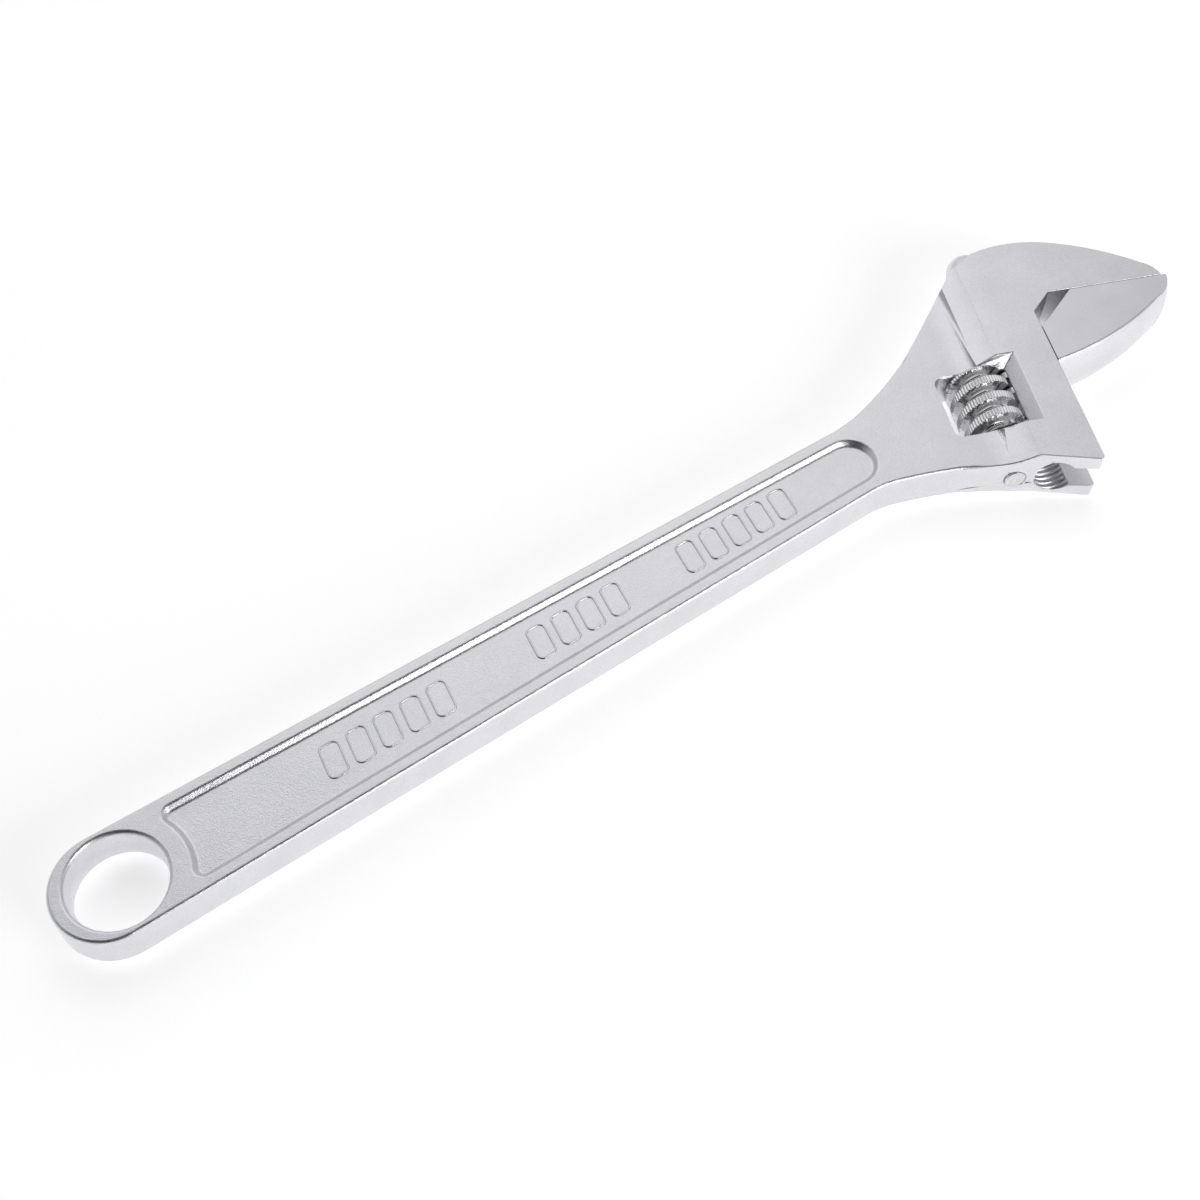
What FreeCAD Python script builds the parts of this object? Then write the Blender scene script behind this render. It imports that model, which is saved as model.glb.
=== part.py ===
"""Adjustable wrench: one forging with its fixed jaw, and a movable jaw driven by a worm.

Row frame: origin at the centre of the hang hole on the mid-plane, +X along the handle towards
the head, +Y to the side on which the fixed jaw stands, +Z up.  The head has a frame of its own,
turned by head_angle about Z with its origin at the throat corner: u is the way the jaws point
and v is the way the movable jaw slides towards the fixed one.
"""
import FreeCAD, Part
import math
import os
import re

import Sketcher
from FreeCAD import Placement, Rotation, Vector

# name, value in millimetres or degrees, what it is
SIZES = [
    # handle
    ("ring_offset", 2.2, "hang hole to the centre of the handle's round end"),
    ("ring_r", 15.2, "radius of the handle's round end, and half its width there"),
    ("handle_thick", 12.0, "handle thickness over its rims"),
    ("hole_r", 12.35, "radius of the hang hole at its land"),
    ("hole_land", 2.4, "length of the land in the hang hole"),
    ("hole_mouth_r", 13.1, "radius of the hang hole at the faces"),
    ("neck_width", 23.9, "handle width where the neck begins"),
    ("far_x", 235.0, "hang hole to the start of the neck's far curve"),
    ("far_bend_r", 50.0, "first curve of the far side"),
    ("far_bend", 14.0, "heading at the end of that curve"),
    ("far_sweep_r", 135.0, "second curve of the far side"),
    ("far_sweep", 29.0, "heading at the end of that curve"),
    ("near_x", 231.0, "hang hole to the start of the neck's near curve"),
    ("near_bend_r", 30.0, "first curve of the near side"),
    ("near_bend", 18.0, "heading at the end of that curve"),
    ("near_sweep_r", 170.0, "second curve of the near side"),
    ("near_sweep", 30.0, "heading at the end of that curve"),
    # recessed panel on each face of the handle
    ("panel_depth", 1.5, "depth of the panel below the rims"),
    ("panel_draft", 42.0, "draft of the panel's wall"),
    ("panel_half", 11.6, "half width of the panel at the ring end"),
    ("panel_ring_r", 18.6, "radius of the panel's concave end, about the hang hole"),
    ("panel_corner_r", 3.0, "rounding of the panel's corners there"),
    ("panel_end_x", 232.3, "hang hole to the centre of the panel's round end"),
    ("panel_end_r", 8.2, "radius of the panel's round end"),
    # head
    ("head_angle", 22.5, "angle of the jaws to the handle"),
    ("throat_x", 317.9, "hang hole to the throat corner along the handle"),
    ("throat_y", 19.0, "hang hole to the throat corner across the handle"),
    ("head_thick", 17.5, "head thickness over its ground faces"),
    ("ground_u", 17.7, "throat to the edge of the ground face"),
    ("slope_angle", 15.0, "fall of the forged slope behind the ground face"),
    ("slope_blend_r", 30.0, "curve that ends the slope on the neck"),
    ("shoulder_u", 19.9, "far shoulder, behind the throat"),
    ("shoulder_v", 15.2, "far shoulder, above the throat"),
    ("crown_u", 11.4, "back end of the fixed jaw's crown"),
    ("crown_v", 20.6, "height of that end"),
    ("crown_r", 40.0, "crown radius"),
    ("jaw_back_u", 12.2, "crown to the straight back of the fixed jaw"),
    ("jaw_back_v", 21.1, "height of that point"),
    ("jaw_back_r", 78.0, "radius of the fixed jaw's back"),
    ("jaw_nose_u", 40.0, "start of the fixed jaw's nose"),
    ("jaw_nose_v", 6.3, "height of that point"),
    ("jaw_nose_r", 9.5, "nose radius"),
    ("jaw_tip_u", 44.5, "throat to the fixed jaw's tip"),
    ("relief_u", 7.1, "throat to the root of the fixed jaw's face"),
    ("relief_v", 6.9, "depth of the slanted relief at the throat"),
    ("head_v", 66.1, "throat to the head's lower front corner"),
    ("front_corner", 1.2, "rounding of that corner"),
    ("flare_u", 17.7, "front of the head to the start of the lower flare"),
    ("flare_v", 61.1, "depth of that point"),
    ("low_bulge", 1.8, "bulge of the head's forged lower side at mid height"),
    ("low_bulge_end", 24.0, "heading of the near side where that bulge has run out"),
    # rail bore, slot and boss
    ("rail_u", 12.5, "front of the head to the rail's axis"),
    ("rail_r", 6.0, "rail radius"),
    ("rail_fit", 0.1, "radial clearance of the rail in its bore"),
    ("bore_top_v", 14.0, "throat to the end of the rail bore's wall"),
    ("drill_point", 59.0, "half angle of the drill point"),
    ("boss_u", 11.4, "front of the head to the centre of the boss over the bore's blind end"),
    ("boss_v", 20.4, "throat to that centre"),
    ("boss_r", 6.1, "radius of the boss"),
    ("slot_thick", 7.8, "height of the slot for the jaw's web"),
    ("slot_top_v", 2.5, "throat to the upper end of the slot"),
    # window and knurl
    ("window_u", 38.5, "front of the head to the window's back wall"),
    ("window_length", 23.0, "window size along the handle side"),
    ("window_front_u", 15.5, "front of the head to the window's front wall"),
    ("window_top_v", 25.0, "throat to the window's upper wall"),
    ("window_corner_r", 2.7, "corner radius of the window at its back wall"),
    ("window_front_r", 1.0, "corner radius at its front wall, clear of the knurl's ends"),
    ("splay", 3.5, "splay of the window's two inner walls at the ground face"),
    ("splay_depth", 3.2, "depth to which they are splayed"),
    ("worm_u", 24.3, "front of the head to the knurl's axis"),
    ("worm_r", 9.6, "knurl radius"),
    ("worm_end_gap", 0.2, "clearance at each end of the knurl"),
    ("thread_pitch", 6.2, "pitch of the worm and the rack"),
    ("thread_depth", 3.2, "depth of the worm's groove"),
    ("thread_open", 3.4, "groove width at the crest"),
    ("thread_root", 2.2, "groove width at the root"),
    ("thread_phase", 3.2, "first groove centre on the rack side, above the window's lower wall"),
    ("mesh_gap", 0.35, "clearance between worm and rack flanks"),
    ("mesh_depth_gap", 0.4, "clearance between the knurl's crest and the rack's root"),
    ("pin_r", 3.1, "pin radius"),
    ("pin_fit", 0.04, "radial clearance of the pin in the body"),
    ("worm_fit", 0.1, "radial clearance of the knurl on its pin"),
    ("pin_engage", 12.0, "length of pin held in the upper wall"),
    ("pin_recess", 0.7, "pin end below the bulge of the head's lower side"),
    ("pin_chamfer", 0.3, "chamfer at the pin's upper end"),
    ("spring_bore_r", 5.0, "radius of the knurl's counterbore for the spring"),
    ("spring_bore_depth", 5.6, "depth of that counterbore"),
    ("spring_wire_r", 0.4, "radius of the spring wire"),
    ("spring_turns", 4.0, "turns of the spring"),
    ("spring_gap", 0.1, "clearance of the spring at its ends"),
    # movable jaw
    ("jaw_gap", 0.1, "gap between the closed jaws"),
    ("jaw_side_gap", 0.25, "gap between the jaw's back and the head's front"),
    ("jaw_face_drop", 0.15, "jaw's side faces below the ground faces"),
    ("moving_tip_u", 46.0, "throat to the movable jaw's tip"),
    ("moving_face_u", 14.1, "throat to the root of the movable jaw's face"),
    ("moving_chamfer_v", 13.3, "depth of the chamfer at its root"),
    ("moving_root_v", 27.1, "depth of the movable jaw at its root"),
    ("moving_back_r", 99.0, "radius of its outer edge"),
    ("moving_nose_u", 39.5, "start of its nose"),
    ("moving_nose_v", 9.1, "depth of that point"),
    ("moving_nose_r", 11.0, "nose radius"),
    ("moving_bulge", 2.0, "bulge of its forged outer side at mid height"),
    ("web_gap", 0.2, "clearance of the web in its slot, each side"),
    ("rail_low_v", 36.6, "throat to the rail's lower end, jaws closed"),
    ("rail_top_gap", 1.6, "rail's upper end below the bore's end, jaws closed"),
    ("rail_chamfer", 0.8, "chamfer on the rail's ends"),
]
ALIASES = {name for name, _, _ in SIZES}

DOC = FreeCAD.newDocument("adjustable_wrench")


def make_sheet():
    """Write every driving dimension into the spreadsheet under its alias."""
    sheet = DOC.addObject("Spreadsheet::Sheet", "sizes")
    for row, (name, value, meaning) in enumerate(SIZES, start=1):
        sheet.set(f"A{row}", meaning)
        sheet.set(f"B{row}", str(value))
        sheet.setAlias(f"B{row}", name)
    DOC.recompute()
    return sheet


SHEET = make_sheet()


def link(text):
    """Turn words from the size list into references to their cells."""
    return re.sub(r"[a-z_]+", lambda m: "sizes." + m[0] if m[0] in ALIASES else m[0], text)


def number(text):
    """The present value of an expression."""
    return float(SHEET.evalExpression(link(text)))


def in_head(u, v):
    """Row-frame expressions of the head-frame point (u, v)."""
    x = f"throat_x + ({u}) * cos(head_angle) + ({v}) * sin(head_angle)"
    y = f"throat_y - ({u}) * sin(head_angle) + ({v}) * cos(head_angle)"
    return x, y


def make_body(name, u=None, v=None):
    """A body in the row frame, or standing in the head frame at (u, v)."""
    body = DOC.addObject("PartDesign::Body", name)
    body.Label = name
    if u is not None:
        body.Placement = Placement(Vector(), Rotation(Vector(0, 0, 1), -1))
        x, y = in_head(u, v)
        body.setExpression("Placement.Base.x", link(x))
        body.setExpression("Placement.Base.y", link(y))
        body.setExpression("Placement.Rotation.Angle", link("-head_angle"))
    DOC.recompute()
    return body


def make_sketch(body, name, role="XY_Plane", base=("0", "0", "0"), turn=None):
    """A sketch on an origin plane, shifted by base and turned with the head about axis turn."""
    sketch = body.newObject("Sketcher::SketchObject", name)
    plane = next(f for f in body.Origin.OriginFeatures if f.Role == role)
    sketch.AttachmentSupport = (plane, [""])
    sketch.MapMode = "FlatFace"
    if turn is not None:
        sketch.AttachmentOffset = Placement(Vector(), Rotation(turn, -1))
        sketch.setExpression("AttachmentOffset.Rotation.Angle", link("-head_angle"))
    for axis, text in zip("xyz", base):
        sketch.setExpression("AttachmentOffset.Base." + axis, link(text))
    return sketch


def head_sketch(body, name, u="0", v="0", height="0"):
    """A sketch in the head frame, level with the mid-plane or at a height, origin at (u, v)."""
    return make_sketch(body, name, base=(*in_head(u, v), height), turn=Vector(0, 0, 1))


def cross_sketch(body, name, u="0", v="0"):
    """A sketch across the head whose x runs along u and whose y runs along Z."""
    x, y = in_head(u, v)
    return make_sketch(body, name, "XZ_Plane", (x, "0", f"-({y})"), Vector(0, 1, 0))


def arc_between(start, end, radius, centre_left):
    """The shorter arc from start to end, with its centre on the left or right of the way."""
    chord = end - start
    side = Vector(-chord.y, chord.x, 0).normalize()
    reach = math.sqrt(radius**2 - (chord.Length / 2) ** 2)
    centre = (start + end) * 0.5 + side * (reach if centre_left else -reach)
    ends = (start, end) if centre_left else (end, start)
    angles = [math.atan2(p.y - centre.y, p.x - centre.x) for p in ends]
    return Part.ArcOfCircle(Part.Circle(centre, Vector(0, 0, 1), radius), *angles)


def draw_loop(sketch, corners):
    """Draw a closed outline and drive it from the sheet.

    A corner is (x, y) or (x, y, radius, side): the run from it to the next one is straight, or
    an arc whose centre is on that side of the way, "left" or "right".
    """
    spots = [Vector(number(c[0]), number(c[1]), 0) for c in corners]
    runs = []
    for i, corner in enumerate(corners):
        start, end = spots[i], spots[(i + 1) % len(spots)]
        if len(corner) == 2:
            index = sketch.addGeometry(Part.LineSegment(start, end), False)
            runs.append((index, 1, 2))
        else:
            left = corner[3] == "left"
            arc = arc_between(start, end, number(corner[2]), left)
            index = sketch.addGeometry(arc, False)
            runs.append((index, 1, 2) if left else (index, 2, 1))
    for i, (index, first, last) in enumerate(runs):
        after, after_first, _ = runs[(i + 1) % len(runs)]
        sketch.addConstraint(Sketcher.Constraint("Coincident", index, last, after, after_first))
        drive(sketch, "DistanceX", (-1, 1, index, first), corners[i][0])
        drive(sketch, "DistanceY", (-1, 1, index, first), corners[i][1])
        if len(corners[i]) > 2:
            drive(sketch, "Radius", (index,), corners[i][2])


def drive(sketch, kind, where, text):
    """Add a dimension and bind it to the sheet."""
    index = sketch.addConstraint(Sketcher.Constraint(kind, *where, number(text)))
    name = f"{kind.lower()}_{index}"
    sketch.renameConstraint(index, name)
    sketch.setExpression("Constraints." + name, link(text))


def draw_circle(sketch, x, y, radius):
    """A circle whose centre and radius are driven from the sheet."""
    centre = Vector(number(x), number(y), 0)
    circle = Part.Circle(centre, Vector(0, 0, 1), number(radius))
    index = sketch.addGeometry(circle, False)
    drive(sketch, "DistanceX", (-1, 1, index, 3), x)
    drive(sketch, "DistanceY", (-1, 1, index, 3), y)
    drive(sketch, "Radius", (index,), radius)


def add_feature(body, kind, name, sketch):
    """A sketch-based feature at the end of the body."""
    feature = body.newObject("PartDesign::" + kind, name)
    feature.Profile = sketch
    return feature


def thick(body, kind, name, sketch, length):
    """A pad or pocket of a driven length, half above and half below its sketch."""
    feature = add_feature(body, kind, name, sketch)
    feature.SideType = "Symmetric"
    feature.setExpression("Length", link(length))
    return feature


def cut_through(body, name, sketch):
    """A pocket through everything, both ways."""
    pocket = add_feature(body, "Pocket", name, sketch)
    pocket.SideType = "Symmetric"
    pocket.Type = "ThroughAll"
    return pocket


def turned(body, kind, name, sketch):
    """A full revolution or groove about the sketch's own vertical axis."""
    feature = add_feature(body, kind, name, sketch)
    feature.ReferenceAxis = (sketch, ["V_Axis"])
    feature.Angle = 360
    return feature


def mirrored(body, name, originals):
    """Repeat features on the other face of the wrench."""
    plane = next(f for f in body.Origin.OriginFeatures if f.Role == "XY_Plane")
    feature = body.newObject("PartDesign::Mirrored", name)
    feature.Originals = originals
    feature.MirrorPlane = (plane, [""])
    body.Tip = feature
    return feature


def on_near_sweep(heading):
    """The point of the near side's second curve with a given heading."""
    x = "near_x + near_bend_r * sin(near_bend)"
    y = "-neck_width / 2 - near_bend_r * (1 - cos(near_bend))"
    return (
        f"{x} + near_sweep_r * (sin({heading}) - sin(near_bend))",
        f"{y} - near_sweep_r * (cos(near_bend) - cos({heading}))",
    )


def draw_wrench_outline(sketch):
    """Plan outline of handle, neck, head and fixed jaw, clockwise from the round end."""
    half = "neck_width / 2"
    far_x = "far_x + far_bend_r * sin(far_bend)"
    far_y = f"{half} + far_bend_r * (1 - cos(far_bend))"
    near_x, near_y = on_near_sweep("near_bend")
    near_end = on_near_sweep("near_sweep")
    far_end = (
        f"{far_x} + far_sweep_r * (sin(far_sweep) - sin(far_bend))",
        f"{far_y} + far_sweep_r * (cos(far_bend) - cos(far_sweep))",
    )
    draw_loop(sketch, [
        ("-ring_offset", "ring_r"),
        ("far_x", half, "far_bend_r", "left"),
        (far_x, far_y, "far_sweep_r", "left"),
        far_end,
        in_head("-shoulder_u", "shoulder_v"),
        (*in_head("-crown_u", "crown_v"), "crown_r", "right"),
        (*in_head("jaw_back_u", "jaw_back_v"), "jaw_back_r", "right"),
        (*in_head("jaw_nose_u", "jaw_nose_v"), "jaw_nose_r", "right"),
        in_head("jaw_tip_u", "0"),
        in_head("relief_u", "0"),
        in_head("0", "-relief_v"),
        (*in_head("0", "front_corner - head_v"), "front_corner * 1.1", "right"),
        in_head("-front_corner", "-head_v"),
        in_head("-flare_u", "-flare_v"),
        (*near_end, "near_sweep_r", "left"),
        (near_x, near_y, "near_bend_r", "left"),
        ("near_x", f"-{half}"),
        ("-ring_offset", "-ring_r"),
    ])


def add_forged_blank(body):
    """Outline at full head thickness, thinned to the handle behind the sloping shoulder."""
    outline = make_sketch(body, "wrench_outline")
    draw_wrench_outline(outline)
    thick(body, "Pad", "blank", outline, "head_thick")
    add_lower_bulge(body)

    slope = cross_sketch(body, "slope_profile")
    top = "head_thick / 2"
    neck = "handle_thick / 2"
    blend_rise = "slope_blend_r * (1 - cos(slope_angle))"
    foot_u = f"ground_u + (({top}) - ({neck}) - {blend_rise}) / tan(slope_angle)"
    level_u = f"{foot_u} + slope_blend_r * sin(slope_angle)"
    clear = "throat_x + 2 * ring_r"
    for sign, side in (("", "right"), ("-", "left")):
        draw_loop(slope, [
            ("-ground_u", f"{sign}({top})"),
            (f"-({foot_u})", f"{sign}({neck} + {blend_rise})", "slope_blend_r", side),
            (f"-({level_u})", f"{sign}({neck})"),
            (f"-({clear})", f"{sign}({neck})"),
            (f"-({clear})", f"{sign}(2 * head_thick)"),
            ("-ground_u", f"{sign}(2 * head_thick)"),
        ])
    cut_through(body, "slopes", slope)

    ring = make_sketch(body, "ring_outline")
    draw_circle(ring, "-ring_offset", "0", "ring_r")
    thick(body, "Pad", "round_end", ring, "handle_thick")


def add_lower_bulge(body):
    """Round out the head's lower side at mid height, from the front corner to the neck."""
    heights = (("-head_thick / 2", "0"), ("0", "low_bulge"), ("head_thick / 2", "0"))
    sections = []
    for i, (height, bulge) in enumerate(heights):
        x, y = on_near_sweep("near_sweep")
        section = make_sketch(body, f"lower_side_{i}", base=("0", "0", height))
        draw_loop(section, [
            in_head("-front_corner", "-head_v"),
            in_head("-flare_u", f"-flare_v - {bulge}"),
            (f"{x} - {bulge} * sin(head_angle)", f"{y} - {bulge} * cos(head_angle)", "near_sweep_r", "left"),
            on_near_sweep("low_bulge_end"),
            in_head("-flare_u", "-(flare_v + window_top_v + window_length) / 2"),
        ])
        sections.append(section)
    loft = add_feature(body, "AdditiveLoft", "lower_bulge", sections[0])
    loft.Sections = sections[1:]


def add_boss(body):
    """Rounded boss round the blind end of the rail bore."""
    boss = head_sketch(body, "boss_profile", u="-boss_u")
    draw_loop(boss, [
        ("0", "0"),
        ("0", "boss_v + boss_r", "boss_r", "right"),
        ("boss_r", "boss_v"),
        ("boss_r", "0"),
    ])
    turned(body, "Revolution", "boss", boss)


def cut_hang_hole(body):
    """Hang hole, drafted from both faces to a short cylindrical land."""
    hole = make_sketch(body, "hang_hole_profile", "XZ_Plane")
    face = "handle_thick / 2"
    draw_loop(hole, [
        ("0", f"-{face}"),
        ("hole_mouth_r", f"-{face}"),
        ("hole_r", "-hole_land / 2"),
        ("hole_r", "hole_land / 2"),
        ("hole_mouth_r", face),
        ("0", face),
    ])
    turned(body, "Groove", "hang_hole", hole)


def cut_panels(body):
    """Recessed panel with a drafted wall, on both faces of the handle."""
    panel = make_sketch(body, "panel_outline", base=("0", "0", "handle_thick / 2"))
    reach = "(panel_ring_r + panel_corner_r)"
    corner_x = f"sqrt({reach} ^ 2 - (panel_half - panel_corner_r) ^ 2)"
    ring_x = f"({corner_x} * panel_ring_r / {reach})"
    ring_y = f"((panel_half - panel_corner_r) * panel_ring_r / {reach})"
    draw_loop(panel, [
        (ring_x, ring_y, "panel_corner_r", "right"),
        (corner_x, "panel_half"),
        ("panel_end_x", "panel_end_r", "panel_end_r", "right"),
        ("panel_end_x + panel_end_r", "0", "panel_end_r", "right"),
        ("panel_end_x", "-panel_end_r"),
        (corner_x, "-panel_half", "panel_corner_r", "right"),
        (ring_x, f"-{ring_y}", "panel_ring_r", "left"),
    ])
    pocket = add_feature(body, "Pocket", "panel", panel)
    pocket.setExpression("Length", link("panel_depth"))
    pocket.setExpression("TaperAngle", link("-panel_draft"))
    DOC.recompute()
    mirrored(body, "panel_pair", [pocket])


def cut_window(body):
    """Window for the knurl, with two of its walls splayed towards each face."""
    back = "-window_u"
    front = "-window_front_u"
    top = "-window_top_v"
    low = "-(window_top_v + window_length)"
    corner = "window_corner_r"
    small = "window_front_r"
    window = head_sketch(body, "window_outline")
    draw_loop(window, [
        (f"{back} + {corner}", top),
        (f"{front} - {small}", top, small, "right"),
        (front, f"{top} - {small}"),
        (front, f"{low} + {small}", small, "right"),
        (f"{front} - {small}", low),
        (f"{back} + {corner}", low, corner, "right"),
        (back, f"{low} + {corner}"),
        (back, f"{top} - {corner}", corner, "right"),
    ])
    cut_through(body, "window", window)

    face = "head_thick / 2"
    levels = ((f"{face} - splay_depth", "0"), (face, "splay"))
    sections = []
    for name, (height, spread) in zip(("splay_root", "splay_mouth"), levels):
        section = head_sketch(body, name, height=height)
        draw_loop(section, [
            (f"{back} + {corner}", f"{top} + {spread}"),
            (f"{front} + {spread}", f"{top} + {spread}"),
            (f"{front} + {spread}", low),
            (f"{back} + {corner}", low),
        ])
        sections.append(section)
    splay = add_feature(body, "SubtractiveLoft", "splay_cut", sections[0])
    splay.Sections = sections[1:]
    splay.Ruled = True
    DOC.recompute()
    mirrored(body, "splay_pair", [splay])


def cut_rail_way(body):
    """Blind bore for the rail, open below, and the slot through which the web passes."""
    bore_r = "rail_r + rail_fit"
    below = "-2 * head_v"
    bore = head_sketch(body, "rail_bore_profile", u="-rail_u")
    draw_loop(bore, [
        ("0", below),
        (bore_r, below),
        (bore_r, "bore_top_v"),
        ("0", f"bore_top_v + ({bore_r}) / tan(drill_point)"),
    ])
    turned(body, "Groove", "rail_bore", bore)

    slot = head_sketch(body, "slot_outline")
    draw_loop(slot, [
        ("-rail_u", "-slot_top_v"),
        ("ring_r", "-slot_top_v"),
        ("ring_r", below),
        ("-rail_u", below),
    ])
    thick(body, "Pocket", "slot", slot, "slot_thick")


def cut_pin_hole(body):
    """Hole for the knurl's pin, from the lower side through the window into its upper wall."""
    hole = head_sketch(body, "pin_hole_profile", u="-worm_u")
    end = "-window_top_v + pin_engage"
    draw_loop(hole, [
        ("0", "-2 * head_v"),
        ("pin_r + pin_fit", "-2 * head_v"),
        ("pin_r + pin_fit", end),
        ("0", end),
    ])
    turned(body, "Groove", "pin_hole", hole)


def make_wrench_body():
    """Handle, neck, head and fixed jaw in one forging."""
    body = make_body("wrench_body")
    add_forged_blank(body)
    add_boss(body)
    cut_panels(body)
    cut_hang_hole(body)
    cut_window(body)
    cut_rail_way(body)
    cut_pin_hole(body)
    return body


def draw_jaw_section(sketch, bulge):
    """Plan section of the movable jaw, its outer side pushed out by bulge."""
    face = "-jaw_gap"
    back = "jaw_side_gap"
    draw_loop(sketch, [
        (f"moving_tip_u + ({bulge}) / 4", face),
        ("moving_face_u", face),
        (back, "-moving_chamfer_v"),
        (back, f"-moving_root_v - ({bulge})", "moving_back_r", "left"),
        (f"moving_nose_u + ({bulge}) / 2", f"-moving_nose_v - ({bulge}) * 0.8", "moving_nose_r", "left"),
    ])


def add_jaw_block(body):
    """The gripping part, with flat sides and a bulging forged outer side."""
    half = "(head_thick / 2 - jaw_face_drop)"
    levels = (("jaw_low", f"-{half}", "0"), ("jaw_middle", "0", "moving_bulge"), ("jaw_high", half, "0"))
    sections = []
    for name, height, bulge in levels:
        section = make_sketch(body, name, base=("0", "0", height))
        draw_jaw_section(section, bulge)
        sections.append(section)
    block = add_feature(body, "AdditiveLoft", "jaw_block", sections[0])
    block.Sections = sections[1:]


def add_rail(body):
    """Web through the slot and round rail behind it, flattened along the rack."""
    web = make_sketch(body, "web_outline")
    draw_loop(web, [
        ("-rail_u", "-moving_chamfer_v"),
        ("2 * jaw_side_gap", "-moving_chamfer_v"),
        ("2 * jaw_side_gap", "-moving_root_v"),
        ("-rail_u", "-moving_root_v"),
    ])
    thick(body, "Pad", "web", web, "slot_thick - 2 * web_gap")

    top = "bore_top_v - rail_top_gap"
    rail = make_sketch(body, "rail_profile", base=("-rail_u", "0", "0"))
    draw_loop(rail, [
        ("0", "-rail_low_v"),
        ("rail_r - rail_chamfer", "-rail_low_v"),
        ("rail_r", "-rail_low_v + rail_chamfer"),
        ("rail_r", f"{top} - rail_chamfer"),
        ("rail_r - rail_chamfer", top),
        ("0", top),
    ])
    turned(body, "Revolution", "rail", rail)


def cut_rack(body):
    """Flat along the rail and a row of slanted gaps, in mesh with the worm."""
    tip = "(worm_u - (worm_r - thread_depth) - mesh_gap)"
    root = "(worm_u - worm_r - mesh_depth_gap)"
    flat = make_sketch(body, "rack_flat")
    draw_loop(flat, [
        ("-2 * worm_u", "2 * ring_r"),
        (f"-{tip}", "2 * ring_r"),
        (f"-{tip}", "-head_v"),
        ("-2 * worm_u", "-head_v"),
    ])
    cut_through(body, "rack_flat_cut", flat)

    above = "head_thick"
    lead = number("thread_pitch / (2 * pi * (worm_r - thread_depth / 2))")
    deep = "((thread_pitch - thread_open) / 2 + mesh_gap)"
    worm_low = "(window_top_v + window_length - thread_phase - thread_pitch / 2)"
    below = math.ceil(number(f"({worm_low} - rail_low_v - {deep}) / thread_pitch"))
    first = f"thread_pitch * {below} - {worm_low} - {lead} * {above}"
    wide = "((thread_pitch - thread_root) / 2 + mesh_gap)"
    gap = make_sketch(body, "rack_gap", base=("0", first, above))
    draw_loop(gap, [
        (f"-{root}", deep),
        (f"-{root}", f"-{deep}"),
        (f"-{tip} - 1", f"-{wide}"),
        (f"-{tip} - 1", wide),
    ])
    cut = add_feature(body, "Pocket", "rack_gap_cut", gap)
    cut.Type = "ThroughAll"
    cut.UseCustomVector = True
    cut.Direction = Vector(0, lead, -1)
    DOC.recompute()
    row = body.newObject("PartDesign::LinearPattern", "rack_teeth")
    row.Originals = [cut]
    row.Direction = (gap, ["V_Axis"])
    row.Mode = "Spacing"
    row.setExpression("Offset", link("thread_pitch"))
    row.Occurrences = int(number("(rail_low_v + bore_top_v) / thread_pitch")) + 1
    body.Tip = row


def make_movable_jaw():
    """Movable jaw, web and toothed rail in one piece, closed."""
    body = make_body("movable_jaw", "0", "0")
    add_jaw_block(body)
    add_rail(body)
    cut_rack(body)
    return body


def make_adjusting_knurl():
    """Worm screw, bored for its pin and counterbored for the spring."""
    body = make_body("adjusting_knurl", "-worm_u", "-(window_top_v + window_length)")
    low = "worm_end_gap"
    high = "window_length - worm_end_gap"
    blank = make_sketch(body, "knurl_profile")
    draw_loop(blank, [
        ("pin_r + worm_fit", low),
        ("worm_r", low),
        ("worm_r", high),
        ("spring_bore_r", high),
        ("spring_bore_r", f"{high} - spring_bore_depth"),
        ("pin_r + worm_fit", f"{high} - spring_bore_depth"),
    ])
    turned(body, "Revolution", "knurl_blank", blank)
    DOC.recompute()

    start = "thread_phase - 2 * thread_pitch"
    groove = make_sketch(body, "thread_profile", base=("0", start, "0"))
    root = "worm_r - thread_depth"
    over = "worm_r + 1"
    draw_loop(groove, [
        (root, "-thread_root / 2"),
        (over, "-thread_open / 2 - (thread_open - thread_root) / 2 / thread_depth"),
        (over, "thread_open / 2 + (thread_open - thread_root) / 2 / thread_depth"),
        (root, "thread_root / 2"),
    ])
    thread = add_feature(body, "SubtractiveHelix", "thread", groove)
    thread.ReferenceAxis = (groove, ["V_Axis"])
    thread.Mode = "pitch-height-angle"
    thread.setExpression("Pitch", link("thread_pitch"))
    thread.setExpression("Height", link("window_length + 4 * thread_pitch"))
    thread.LeftHanded = False
    return body


def make_worm_spring():
    """Compression spring round the pin, between the knurl and the window's upper wall."""
    body = make_body("worm_spring", "-worm_u", "-window_top_v")
    mean_r = "(pin_r + spring_bore_r) / 2"
    room = "(worm_end_gap + spring_bore_depth - 2 * spring_gap - 2 * spring_wire_r)"
    wire = make_sketch(body, "wire_section", base=("0", f"-{room} - spring_gap - spring_wire_r", "0"))
    draw_circle(wire, mean_r, "0", "spring_wire_r")
    coil = add_feature(body, "AdditiveHelix", "coil", wire)
    coil.ReferenceAxis = (wire, ["V_Axis"])
    coil.Mode = "height-turns-angle"
    coil.setExpression("Height", link(room))
    coil.setExpression("Turns", link("spring_turns"))
    return body


def make_worm_pin():
    """Plain pin of the knurl, its lower end staked flush with the side of the head."""
    body = make_body("worm_pin", "-worm_u", "0")
    low = "-flare_v - low_bulge + pin_recess"
    top = "-window_top_v + pin_engage - pin_chamfer"
    profile = make_sketch(body, "pin_profile")
    draw_loop(profile, [
        ("0", low),
        ("pin_r", low),
        ("pin_r", f"{top} - pin_chamfer"),
        ("pin_r - pin_chamfer", top),
        ("0", top),
    ])
    turned(body, "Revolution", "pin", profile)
    return body


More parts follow.
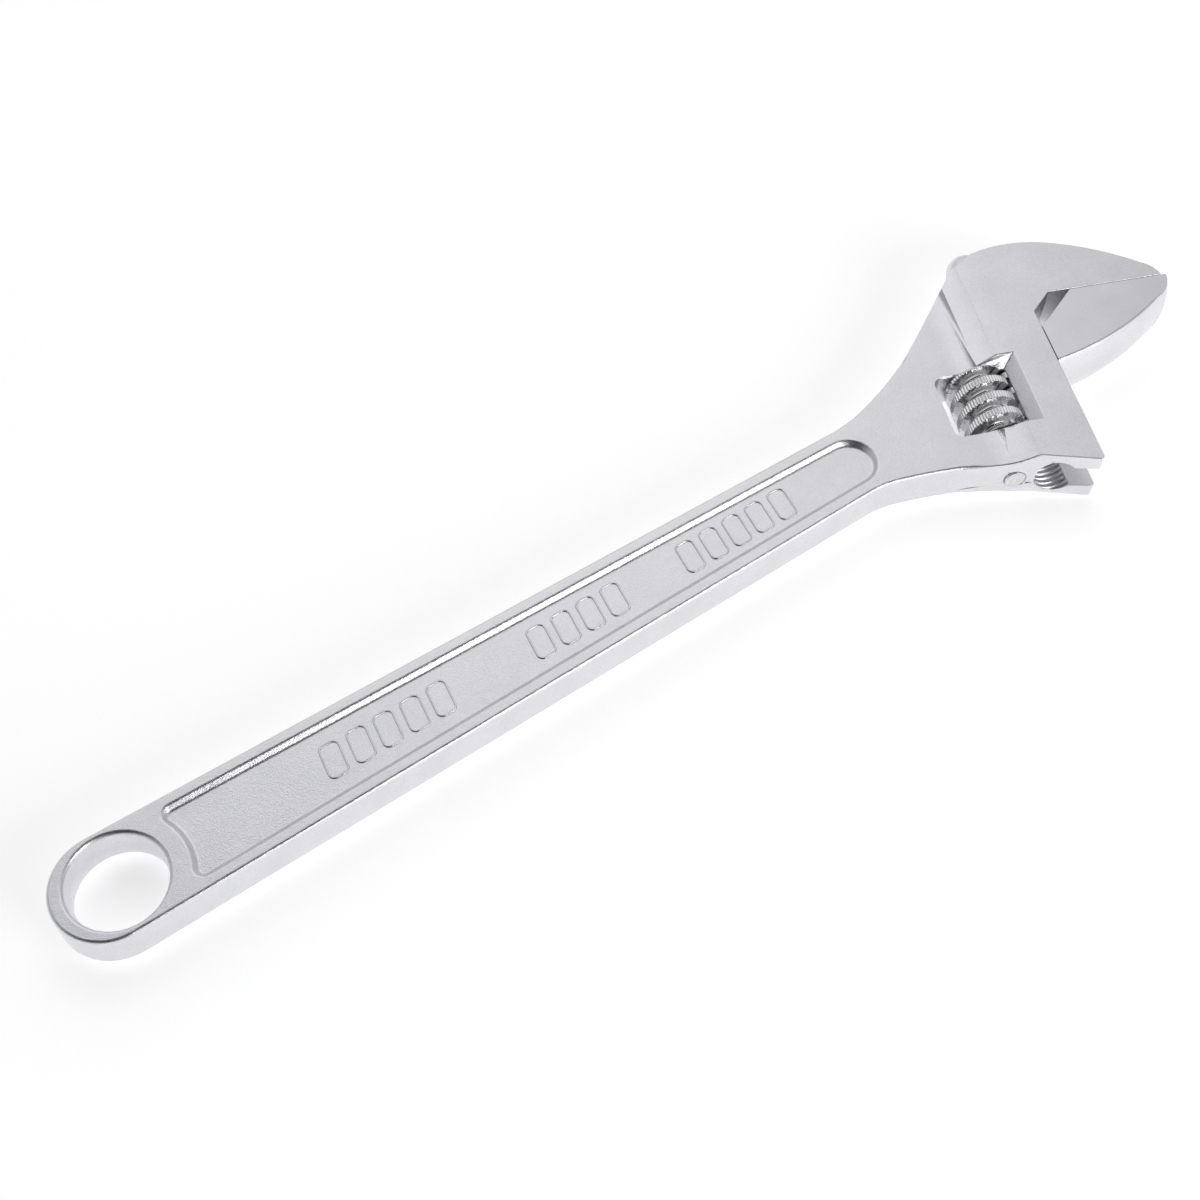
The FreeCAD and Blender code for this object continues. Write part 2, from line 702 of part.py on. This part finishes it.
def check(sub_parts):
    """Stop if any object failed, or if a sub-part isn't one valid solid."""
    for item in DOC.Objects:
        if {"Invalid", "Error"} & set(item.State):
            raise RuntimeError(f"{item.Label}: {item.State}")
    for sub_part in sub_parts:
        shape = sub_part.Shape
        if shape.isNull() or not shape.isValid() or len(shape.Solids) != 1:
            raise RuntimeError(f"{sub_part.Label} is not one valid solid")
        print(f"{sub_part.Label}: {shape.Volume:.1f} mm3, {shape.BoundBox}")


def main():
    sub_parts = [
        make_wrench_body(),
        make_movable_jaw(),
        make_adjusting_knurl(),
        make_worm_spring(),
        make_worm_pin(),
    ]
    DOC.recompute()
    check(sub_parts)
    os.makedirs("parts", exist_ok=True)
    for sub_part in sub_parts:
        sub_part.Shape.exportStep(f"parts/{sub_part.Label}.step")


main()
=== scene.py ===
"""Adjustable wrench: a plated forging, a sliding jaw and the knurled worm that drives it."""
import math

import bmesh
import bpy
from mathutils import Matrix, Vector


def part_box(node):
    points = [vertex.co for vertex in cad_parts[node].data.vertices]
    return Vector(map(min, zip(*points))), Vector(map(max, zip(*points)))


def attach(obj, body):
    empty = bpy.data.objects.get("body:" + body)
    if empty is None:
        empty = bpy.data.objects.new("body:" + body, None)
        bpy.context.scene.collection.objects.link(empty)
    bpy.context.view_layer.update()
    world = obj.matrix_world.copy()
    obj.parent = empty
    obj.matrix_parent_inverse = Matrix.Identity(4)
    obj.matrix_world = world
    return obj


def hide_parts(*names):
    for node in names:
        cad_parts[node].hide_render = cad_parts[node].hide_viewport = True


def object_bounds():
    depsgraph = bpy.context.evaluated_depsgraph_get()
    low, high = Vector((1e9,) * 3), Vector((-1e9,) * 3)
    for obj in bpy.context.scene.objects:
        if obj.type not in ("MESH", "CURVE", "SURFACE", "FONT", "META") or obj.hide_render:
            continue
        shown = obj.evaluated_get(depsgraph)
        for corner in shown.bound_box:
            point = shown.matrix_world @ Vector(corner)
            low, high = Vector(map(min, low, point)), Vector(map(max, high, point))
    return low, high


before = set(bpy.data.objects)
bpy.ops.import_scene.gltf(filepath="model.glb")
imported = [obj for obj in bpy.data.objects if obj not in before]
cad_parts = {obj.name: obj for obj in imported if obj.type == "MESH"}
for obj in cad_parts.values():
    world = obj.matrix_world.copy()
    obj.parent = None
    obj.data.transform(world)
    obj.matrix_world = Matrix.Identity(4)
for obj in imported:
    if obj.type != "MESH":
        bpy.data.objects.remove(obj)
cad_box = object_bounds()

# ---------------------------------------------------------------- wrench body
# Handle, neck, head and fixed jaw in one drop forging of tool steel.  The forging is blasted and
# plated all over, then the two side faces of the head are ground flat and keep a satin finish.
# Its edges stay round where the die left them and are only broken where a tool has cut.
MM = 0.001
HEAD_ANGLE = math.radians(22.5)
THROAT = Vector((317.9, 19.0, 0.0)) * MM
ALONG = Vector((math.cos(HEAD_ANGLE), -math.sin(HEAD_ANGLE), 0.0))
ACROSS = Vector((math.sin(HEAD_ANGLE), math.cos(HEAD_ANGLE), 0.0))
UP = Vector((0.0, 0.0, 1.0))
RIM_Z = 6.0 * MM
GROUND_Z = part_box("wrench_body")[1][2]
HAIR = 0.004 * MM
FLAT = math.radians(0.08)
CREASE = math.radians(8)
CORNER = math.radians(24)
FORGED_EDGE = 1.0 * MM
PANEL_EDGE = 0.5 * MM
CUT_EDGE = 0.3 * MM
LAND_EDGE = 0.2 * MM


def in_head(point):
    """Distances of a point from the throat along the jaws, across them and up."""
    away = point - THROAT
    return away.dot(ALONG), away.dot(ACROSS), away.z


def group(name, inputs, outputs):
    """A shader node group with its sockets, and its two end nodes."""
    tree = bpy.data.node_groups.new(name, "ShaderNodeTree")
    for label, kind, value in inputs:
        socket = tree.interface.new_socket(label, in_out="INPUT", socket_type="NodeSocket" + kind)
        if value is not None:
            socket.default_value = value
    for label, kind in outputs:
        tree.interface.new_socket(label, in_out="OUTPUT", socket_type="NodeSocket" + kind)
    return tree, tree.nodes.new("NodeGroupInput"), tree.nodes.new("NodeGroupOutput")


def maths(tree, operation, *values):
    """A Math node fed by sockets or numbers; gives its output."""
    node = tree.nodes.new("ShaderNodeMath")
    node.operation = operation
    for socket, value in zip(node.inputs, values):
        if isinstance(value, (int, float)):
            socket.default_value = value
        else:
            tree.links.new(value, socket)
    return node.outputs[0]


def noise(tree, where, scale, detail):
    """A noise value from 0 to 1 at a given number of lumps to the metre."""
    node = tree.nodes.new("ShaderNodeTexNoise")
    node.inputs["Detail"].default_value = detail
    tree.links.new(where, node.inputs["Vector"])
    if isinstance(scale, (int, float)):
        node.inputs["Scale"].default_value = scale
    else:
        tree.links.new(scale, node.inputs["Scale"])
    return node.outputs["Fac"]


def make_blasted_grain():
    """Height and shine of a blasted surface: fine pits over broad, faint unevenness."""
    tree, start, end = group(
        "blasted_grain",
        [("Where", "Vector", None), ("Grain", "Float", 2600.0)],
        [("Height", "Float"), ("Shine", "Float")],
    )
    fine = noise(tree, start.outputs["Where"], start.outputs["Grain"], 3.0)
    broad = noise(tree, start.outputs["Where"], 90.0, 2.0)
    height = maths(tree, "ADD", fine, maths(tree, "MULTIPLY", broad, 1.5))
    tree.links.new(height, end.inputs["Height"])
    shine = maths(tree, "MULTIPLY_ADD", fine, 0.7, maths(tree, "MULTIPLY", broad, 0.3))
    tree.links.new(shine, end.inputs["Shine"])
    return tree


def make_ground_lines():
    """Height of the fine parallel scratches that a grinding belt leaves."""
    tree, start, end = group(
        "ground_lines",
        [("Where", "Vector", None), ("Turn", "Float", 0.0), ("Lines", "Float", 5200.0)],
        [("Height", "Float")],
    )
    spin = tree.nodes.new("ShaderNodeVectorRotate")
    spin.rotation_type = "Z_AXIS"
    tree.links.new(start.outputs["Where"], spin.inputs["Vector"])
    tree.links.new(start.outputs["Turn"], spin.inputs["Angle"])
    squeeze = tree.nodes.new("ShaderNodeVectorMath")
    squeeze.operation = "MULTIPLY"
    squeeze.inputs[1].default_value = (0.03, 1.0, 0.3)
    tree.links.new(spin.outputs[0], squeeze.inputs[0])
    lines = noise(tree, squeeze.outputs[0], start.outputs["Lines"], 2.0)
    tree.links.new(lines, end.inputs["Height"])
    return tree


BLASTED_GRAIN = make_blasted_grain()
GROUND_LINES = make_ground_lines()


def plating(name, colour, ground_above, rough=(0.24, 0.42), grain=0.10, scale=2800.0):
    """Plated steel: blasted all over, and ground where the surface lies above a height."""
    material = bpy.data.materials.new(name)
    material.use_nodes = True
    tree = material.node_tree
    shader = tree.nodes["Principled BSDF"]
    shader.inputs["Metallic"].default_value = 1.0
    place = tree.nodes.new("ShaderNodeTexCoord").outputs["Object"]

    blasted = tree.nodes.new("ShaderNodeGroup")
    blasted.node_tree = BLASTED_GRAIN
    blasted.inputs["Grain"].default_value = scale
    tree.links.new(place, blasted.inputs["Where"])
    lines = tree.nodes.new("ShaderNodeGroup")
    lines.node_tree = GROUND_LINES
    lines.inputs["Turn"].default_value = HEAD_ANGLE
    tree.links.new(place, lines.inputs["Where"])

    split = tree.nodes.new("ShaderNodeSeparateXYZ")
    tree.links.new(place, split.inputs[0])
    height = maths(tree, "ABSOLUTE", split.outputs["Z"])
    ground = maths(tree, "GREATER_THAN", height, ground_above)
    forged = maths(tree, "SUBTRACT", 1.0, ground)

    low, high = rough
    shine = maths(tree, "MULTIPLY_ADD", blasted.outputs["Shine"], high - low, low)
    satin = maths(tree, "MULTIPLY_ADD", lines.outputs["Height"], 0.12, 0.30)
    roughness = maths(
        tree, "ADD", maths(tree, "MULTIPLY", shine, forged), maths(tree, "MULTIPLY", satin, ground))
    tree.links.new(roughness, shader.inputs["Roughness"])

    ramp = tree.nodes.new("ShaderNodeValToRGB")
    ramp.color_ramp.elements[0].position = 0.3
    ramp.color_ramp.elements[0].color = (*(c * 0.82 for c in colour), 1)
    ramp.color_ramp.elements[1].position = 0.7
    ramp.color_ramp.elements[1].color = (*colour, 1)
    tree.links.new(blasted.outputs["Shine"], ramp.inputs["Fac"])
    tree.links.new(ramp.outputs["Color"], shader.inputs["Base Color"])

    relief = maths(
        tree, "ADD",
        maths(tree, "MULTIPLY", blasted.outputs["Height"], forged),
        maths(tree, "MULTIPLY", maths(tree, "MULTIPLY", lines.outputs["Height"], 0.05), ground),
    )
    bump = tree.nodes.new("ShaderNodeBump")
    bump.inputs["Distance"].default_value = grain * MM
    bump.inputs["Strength"].default_value = 1.0
    tree.links.new(relief, bump.inputs["Height"])
    tree.links.new(bump.outputs["Normal"], shader.inputs["Normal"])
    return material


def merged_copy(node):
    """The joined-up mesh of a node, its flat faces in one piece each."""
    mesh = bmesh.new()
    mesh.from_mesh(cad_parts[node].data)
    bmesh.ops.remove_doubles(mesh, verts=mesh.verts, dist=HAIR)
    bmesh.ops.dissolve_degenerate(mesh, edges=mesh.edges, dist=HAIR)
    bmesh.ops.dissolve_limit(mesh, angle_limit=FLAT, verts=mesh.verts, edges=mesh.edges)
    return mesh


def round_edges(mesh, name, width_at, most):
    """A finished object whose edges are rounded by the width that width_at gives each of them.

    Corners without a width, and the creases that the grinding left, stay sharp."""
    layer = mesh.edges.layers.float.new("bevel_weight_edge")
    for edge in mesh.edges:
        if len(edge.link_faces) != 2:
            continue
        turn = edge.calc_face_angle()
        if turn > CORNER:
            edge[layer] = min(1.0, width_at(edge) / most)
            edge.smooth = edge[layer] > 0
        elif turn > CREASE:
            edge.smooth = any(abs(end.co.z) < GROUND_Z - 0.01 * MM for end in edge.verts)
    data = bpy.data.meshes.new(name)
    mesh.to_mesh(data)
    mesh.free()
    rough = bpy.data.objects.new(name + "_rough", data)
    bpy.context.scene.collection.objects.link(rough)
    rounding = rough.modifiers.new("rounding", "BEVEL")
    rounding.limit_method = "WEIGHT"
    rounding.width = most
    rounding.segments = 3
    rounding.use_clamp_overlap = False
    for polygon in data.polygons:
        polygon.use_smooth = True
    even = rough.modifiers.new("even", "WEIGHTED_NORMAL")
    even.keep_sharp = True
    even.weight = 80
    bpy.context.view_layer.update()
    ready = rough.evaluated_get(bpy.context.evaluated_depsgraph_get())
    finished = bpy.data.meshes.new_from_object(ready)
    finished.name = name
    bpy.data.objects.remove(rough)
    piece = bpy.data.objects.new(name, finished)
    bpy.context.scene.collection.objects.link(piece)
    return piece


def body_edge_width(edge):
    """How far the forging's edges are rounded, by where they lie."""
    middle = (edge.verts[0].co + edge.verts[1].co) / 2
    u, v, _ = in_head(middle)
    from_hole = math.hypot(middle.x, middle.y)
    height = abs(middle.z)
    if from_hole < 14.0 * MM:
        return FORGED_EDGE if height > 3 * MM else LAND_EDGE
    if u > -19 * MM:
        return CUT_EDGE
    in_window = abs(v) < 49 * MM and u > -43 * MM
    if in_window:
        return CUT_EDGE if height > 7.4 * MM else 0.0
    on_slope = height > RIM_Z + 0.03 * MM
    if on_slope:
        return CUT_EDGE
    on_panel = height < RIM_Z - 0.5 * MM
    outline = any(abs(face.normal.z) < 0.2 for face in edge.link_faces)
    return FORGED_EDGE if outline and not on_panel else PANEL_EDGE


def add_bore_rings(material, bore_u, bore_r, pitch):
    """Rings that the boring tool left, as waves on the wall of the rail's bore alone."""
    tree = material.node_tree
    place = tree.nodes.new("ShaderNodeTexCoord").outputs["Object"]
    sides = []
    for direction, shift in ((ALONG, THROAT.dot(ALONG) + bore_u), (ACROSS, 0.0), (UP, 0.0)):
        dot = tree.nodes.new("ShaderNodeVectorMath")
        dot.operation = "DOT_PRODUCT"
        dot.inputs[1].default_value = direction
        tree.links.new(place, dot.inputs[0])
        sides.append(maths(tree, "SUBTRACT", dot.outputs["Value"], shift))
    squares = [maths(tree, "POWER", side, 2.0) for side in (sides[0], sides[2])]
    off_axis = maths(tree, "SQRT", maths(tree, "ADD", *squares))
    on_wall = maths(tree, "COMPARE", off_axis, bore_r, 0.15 * MM)
    wave = maths(tree, "SINE", maths(tree, "MULTIPLY", sides[1], math.tau / pitch))
    rings = tree.nodes.new("ShaderNodeBump")
    rings.inputs["Distance"].default_value = 0.35 * MM
    tree.links.new(maths(tree, "MULTIPLY", wave, on_wall), rings.inputs["Height"])
    grain = next(node for node in tree.nodes if node.type == "BUMP" and node != rings)
    tree.links.new(rings.outputs["Normal"], grain.inputs["Normal"])


SATIN_CHROME = (0.86, 0.86, 0.885)
body_plating = plating("body_plating", SATIN_CHROME, GROUND_Z - 0.03 * MM)
add_bore_rings(body_plating, bore_u=-12.5 * MM, bore_r=6.1 * MM, pitch=1.7 * MM)
body = round_edges(merged_copy("wrench_body"), "forged_body", body_edge_width, FORGED_EDGE)
body.data.materials.clear()
body.data.materials.append(body_plating)
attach(body, "body")
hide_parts("wrench_body")

# ---------------------------------------------------------------- raised marks
# Rows of plain raised outlines on the floor of each panel.  They are part of the forging, sunk
# into the die as narrow grooves, so they are half round in section and plated with the body.
PANEL_Z = 4.5 * MM
MARK_SPACING = 8.1 * MM
MARK_STARTS = (("ring_end", 61 * MM, 5), ("middle", 125 * MM, 4), ("head_end", 175 * MM, 5))


def make_mark_rows():
    """Node tree: a row of rounded outlines, each a thin half-round bead."""
    tree = bpy.data.node_groups.new("mark_row", "GeometryNodeTree")
    face = tree.interface
    face.new_socket("Geometry", in_out="INPUT", socket_type="NodeSocketGeometry")
    for label, kind, value in (
        ("Count", "Int", 5), ("Spacing", "Float", 9.0 * MM), ("Width", "Float", 6.0 * MM),
        ("Height", "Float", 10.0 * MM), ("Slant", "Float", 1.6 * MM), ("Bead", "Float", 0.3 * MM),
        ("Start", "Vector", (0, 0, 0)), ("Material", "Material", None),
    ):
        socket = face.new_socket(label, in_out="INPUT", socket_type="NodeSocket" + kind)
        if value is not None:
            socket.default_value = value
    face.new_socket("Geometry", in_out="OUTPUT", socket_type="NodeSocketGeometry")
    nodes, links = tree.nodes, tree.links
    start, end = nodes.new("NodeGroupInput"), nodes.new("NodeGroupOutput")
    outline = nodes.new("GeometryNodeCurvePrimitiveQuadrilateral")
    outline.mode = "PARALLELOGRAM"
    links.new(start.outputs["Width"], outline.inputs["Width"])
    links.new(start.outputs["Height"], outline.inputs["Height"])
    links.new(start.outputs["Slant"], outline.inputs["Offset"])
    fillet = nodes.new("GeometryNodeFilletCurve")
    fillet.mode = "POLY"
    fillet.inputs["Count"].default_value = 6
    fillet.inputs["Radius"].default_value = 1.6 * MM
    links.new(outline.outputs[0], fillet.inputs["Curve"])
    section = nodes.new("GeometryNodeCurvePrimitiveCircle")
    section.inputs["Resolution"].default_value = 10
    links.new(start.outputs["Bead"], section.inputs["Radius"])
    bead = nodes.new("GeometryNodeCurveToMesh")
    links.new(fillet.outputs[0], bead.inputs["Curve"])
    links.new(section.outputs["Curve"], bead.inputs["Profile Curve"])
    row = nodes.new("GeometryNodeMeshLine")
    links.new(start.outputs["Count"], row.inputs["Count"])
    links.new(start.outputs["Start"], row.inputs["Start Location"])
    step = nodes.new("ShaderNodeCombineXYZ")
    links.new(start.outputs["Spacing"], step.inputs["X"])
    links.new(step.outputs[0], row.inputs["Offset"])
    put = nodes.new("GeometryNodeInstanceOnPoints")
    links.new(row.outputs[0], put.inputs["Points"])
    links.new(bead.outputs[0], put.inputs["Instance"])
    real = nodes.new("GeometryNodeRealizeInstances")
    links.new(put.outputs[0], real.inputs[0])
    coat = nodes.new("GeometryNodeSetMaterial")
    links.new(real.outputs[0], coat.inputs["Geometry"])
    links.new(start.outputs["Material"], coat.inputs["Material"])
    links.new(coat.outputs[0], end.inputs[0])
    return tree


MARK_ROWS = make_mark_rows()


def add_mark_row(name, first_x, count, side):
    """One row of marks on the upper (side 1) or lower (side -1) panel."""
    piece = bpy.data.objects.new(name, bpy.data.meshes.new(name))
    bpy.context.scene.collection.objects.link(piece)
    modifier = piece.modifiers.new("row", "NODES")
    modifier.node_group = MARK_ROWS
    values = {
        "Count": count, "Spacing": MARK_SPACING, "Width": 0.68 * MARK_SPACING,
        "Start": (first_x, 0.0, side * (PANEL_Z + 0.02 * MM)), "Material": body_plating,
    }
    for item in MARK_ROWS.interface.items_tree:
        if item.in_out == "INPUT" and item.name in values:
            modifier[item.identifier] = values[item.name]
    bpy.context.view_layer.update()
    ready = piece.evaluated_get(bpy.context.evaluated_depsgraph_get())
    finished = bpy.data.meshes.new_from_object(ready)
    piece.modifiers.clear()
    piece.data = finished
    for polygon in finished.polygons:
        polygon.use_smooth = True
    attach(piece, "body")


for side, face_name in ((1, "upper"), (-1, "lower")):
    for place_name, first_x, count in MARK_STARTS:
        add_mark_row(f"marks_{face_name}_{place_name}", first_x, count, side)

# ---------------------------------------------------------------- movable jaw
# Jaw, web and toothed rail in one forging.  The gripping face and the two sides are ground, the
# outer side is left round and blasted, and the rail is turned before its teeth are cut.
OUTER_EDGE = 0.5 * MM


def jaw_edge_width(edge):
    """How far the jaw's edges are rounded, by where they lie."""
    middle = (edge.verts[0].co + edge.verts[1].co) / 2
    u, v, z = in_head(middle)
    outer_side = abs(z) > 8 * MM and v < -10 * MM and u > 1 * MM
    return OUTER_EDGE if outer_side else LAND_EDGE


jaw_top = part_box("movable_jaw")[1][2]
jaw_plating = plating("jaw_plating", SATIN_CHROME, jaw_top - 0.03 * MM)
jaw = round_edges(merged_copy("movable_jaw"), "sliding_jaw", jaw_edge_width, OUTER_EDGE)
jaw.data.materials.clear()
jaw.data.materials.append(jaw_plating)
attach(jaw, "jaw")
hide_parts("movable_jaw")

# ---------------------------------------------------------------- adjusting knurl
# Worm screw turned from bar, its thread cut with a rounded groove and its crest knurled with
# straight teeth for the thumb, then plated bright.  It is bored for its pin and has a
# counterbore at its upper end for the spring.
WORM_U = -24.3 * MM
WORM_V = -48.0 * MM
WORM_R = 9.6 * MM
PITCH = 6.2 * MM
GROOVE_HALF = 1.7 * MM
GROOVE_DEPTH = 3.2 * MM
FIRST_GROOVE = 3.2 * MM
KNURL_LOW = 0.2 * MM
KNURL_HIGH = 22.8 * MM
BORE_R = 3.2 * MM
SPRING_R = 5.0 * MM
SPRING_DEPTH = 5.6 * MM
KNURL_TEETH = 60
TOOTH_DEPTH = 0.3 * MM
END_ROUND = 0.35 * MM
SHOULDER = 0.28 * MM
SHOULDER_WIDTH = 0.35 * MM
STEPS_ROUND = 360
ROWS = 120
NOWHERE_GROUND = 1.0


def worm_radius(angle, height):
    """Radius of the worm at an angle about its axis and a height above its lower wall."""
    centre = FIRST_GROOVE + PITCH * (angle - math.pi / 2) / math.tau
    from_groove = abs((height - centre + PITCH / 2) % PITCH - PITCH / 2)
    from_end = min(height - KNURL_LOW, KNURL_HIGH - height)
    end_round = END_ROUND * max(0.0, 1 - from_end / (0.5 * MM)) ** 2
    if from_groove < GROOVE_HALF:
        hollow = (1 - (from_groove / GROOVE_HALF) ** 5) ** 0.7
        return WORM_R - SHOULDER - (GROOVE_DEPTH - SHOULDER) * hollow
    shoulder = max(0.0, 1 - (from_groove - GROOVE_HALF) / SHOULDER_WIDTH)
    tooth = 0.5 - 0.5 * math.cos(KNURL_TEETH * angle)
    return WORM_R - end_round - SHOULDER * shoulder**2 - TOOTH_DEPTH * tooth**1.4 * (1 - shoulder)


def make_knurl():
    """The worm as one closed mesh, ring by ring from the bore out and back."""
    origin = THROAT + ALONG * WORM_U + ACROSS * WORM_V
    floor = KNURL_HIGH - SPRING_DEPTH
    inner = [(SPRING_R, KNURL_HIGH), (SPRING_R, floor), (BORE_R, floor), (BORE_R, KNURL_LOW)]
    heights = [KNURL_LOW + (KNURL_HIGH - KNURL_LOW) * i / (ROWS - 1) for i in range(ROWS)]
    rings = [(None, height) for height in heights] + inner
    vertices = []
    for radius, height in rings:
        for step in range(STEPS_ROUND):
            angle = math.tau * step / STEPS_ROUND
            r = worm_radius(angle, height) if radius is None else radius
            outward = ALONG * math.sin(angle) + UP * math.cos(angle)
            vertices.append(origin + ACROSS * height + outward * r)
    faces = []
    for ring in range(len(rings)):
        here, after = ring * STEPS_ROUND, (ring + 1) % len(rings) * STEPS_ROUND
        for step in range(STEPS_ROUND):
            beside = (step + 1) % STEPS_ROUND
            faces.append((here + step, here + beside, after + beside, after + step))
    data = bpy.data.meshes.new("worm_screw")
    data.from_pydata(vertices, [], faces)
    mesh = bmesh.new()
    mesh.from_mesh(data)
    bmesh.ops.recalc_face_normals(mesh, faces=mesh.faces)
    mesh.to_mesh(data)
    mesh.free()
    for polygon in data.polygons:
        polygon.use_smooth = True
    data.set_sharp_from_angle(angle=math.radians(38))
    piece = bpy.data.objects.new("worm_screw", data)
    bpy.context.scene.collection.objects.link(piece)
    return piece


knurl = make_knurl()
knurl.data.materials.append(
    plating("knurl_plating", (0.78, 0.78, 0.79), NOWHERE_GROUND, (0.12, 0.26), 0.012, 3500.0))
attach(knurl, "knurl")
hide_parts("adjusting_knurl")

# ---------------------------------------------------------------- pin and spring
# Plain pin of hardened steel, driven in from the lower side of the head and staked, and the small
# wire spring that takes up the worm's end play.  Both are hidden but for the pin's dented end.
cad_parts["worm_pin"].data.materials.clear()
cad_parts["worm_pin"].data.materials.append(
    plating("pin_steel", (0.82, 0.82, 0.83), NOWHERE_GROUND, (0.15, 0.4), 0.25, 900.0))
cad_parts["worm_spring"].data.materials.clear()
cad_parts["worm_spring"].data.materials.append(
    plating("spring_steel", (0.45, 0.45, 0.46), NOWHERE_GROUND, (0.25, 0.45), 0.01, 4000.0))

# ---------------------------------------------------------------- floor, light and camera
# A white sweep under the wrench, two broad softboxes and a pale room that darkens behind the
# camera, as a studio does, so that every rounded edge keeps a fine dark line.
FLOOR_Z = cad_box[0][2] - 0.1 * MM
FLOOR_REACH = 4.0
LIT_POINT = Vector((0.17, 0.0, 0.0))
LIGHT_DISTANCE = 1.2
VIEW = Vector((0.3155562, 0.4594360, -0.8302668))
VIEW_RIGHT = Vector((0.8248607, -0.5653357, 0.0006677))
VIEW_DOWN = Vector((-0.4690727, -0.6850651, -0.5573658))
VIEW_FROM = Vector((1.946, -207.308, 382.921)) * MM
SENSOR = 36.0
FOCAL_RATIO = 1.38129

floor_mesh = bpy.data.meshes.new("floor")
corners = ((-1, -1), (1, -1), (1, 1), (-1, 1))
floor_mesh.from_pydata([(FLOOR_REACH * x, FLOOR_REACH * y, FLOOR_Z) for x, y in corners], [], [(0, 1, 2, 3)])
floor = bpy.data.objects.new("floor", floor_mesh)
bpy.context.scene.collection.objects.link(floor)
sweep = bpy.data.materials.new("white_sweep")
sweep.use_nodes = True
paper = sweep.node_tree.nodes["Principled BSDF"]
paper.inputs["Base Color"].default_value = (0.9, 0.9, 0.9, 1)
paper.inputs["Roughness"].default_value = 0.9
paper.inputs["Emission Color"].default_value = (1, 1, 1, 1)
paper.inputs["Emission Strength"].default_value = 0.56
floor_mesh.materials.append(sweep)


def add_softbox(name, toward, size, power):
    """A square area light that faces the middle of the wrench."""
    light = bpy.data.lights.new(name, "AREA")
    light.size = size
    light.energy = power
    lamp = bpy.data.objects.new(name, light)
    bpy.context.scene.collection.objects.link(lamp)
    lamp.location = LIT_POINT + Vector(toward).normalized() * LIGHT_DISTANCE
    lamp.rotation_euler = (LIT_POINT - lamp.location).to_track_quat("-Z", "Y").to_euler()


add_softbox("overhead", (0.22, 0.56, 0.80), size=1.3, power=2.5)
add_softbox("near_side", (0.30, -0.95, 0.42), size=0.6, power=5.0)

room = bpy.data.worlds.new("room")
bpy.context.scene.world = room
room.use_nodes = True
sky = room.node_tree
facing = sky.nodes.new("ShaderNodeVectorMath")
facing.operation = "DOT_PRODUCT"
facing.inputs[1].default_value = -VIEW
sky.links.new(sky.nodes.new("ShaderNodeTexCoord").outputs["Generated"], facing.inputs[0])
shade = sky.nodes.new("ShaderNodeMapRange")
shade.interpolation_type = "SMOOTHSTEP"
shade.inputs["From Min"].default_value = 0.50
shade.inputs["From Max"].default_value = 0.76
shade.inputs["To Min"].default_value = 0.55
shade.inputs["To Max"].default_value = 0.02
sky.links.new(facing.outputs["Value"], shade.inputs["Value"])
sky.links.new(shade.outputs["Result"], sky.nodes["Background"].inputs["Strength"])
sky.nodes["Background"].inputs["Color"].default_value = (1.0, 1.0, 1.02, 1)

camera = bpy.data.objects.new("camera", bpy.data.cameras.new("camera"))
bpy.context.scene.collection.objects.link(camera)
stand = Matrix((VIEW_RIGHT, -VIEW_DOWN, -VIEW)).transposed().to_4x4()
stand.translation = VIEW_FROM
camera.matrix_world = stand
camera.data.sensor_width = SENSOR
camera.data.lens = SENSOR * FOCAL_RATIO
camera.data.clip_start = 0.01
bpy.context.scene.camera = camera
bpy.context.scene.view_settings.view_transform = "Standard"
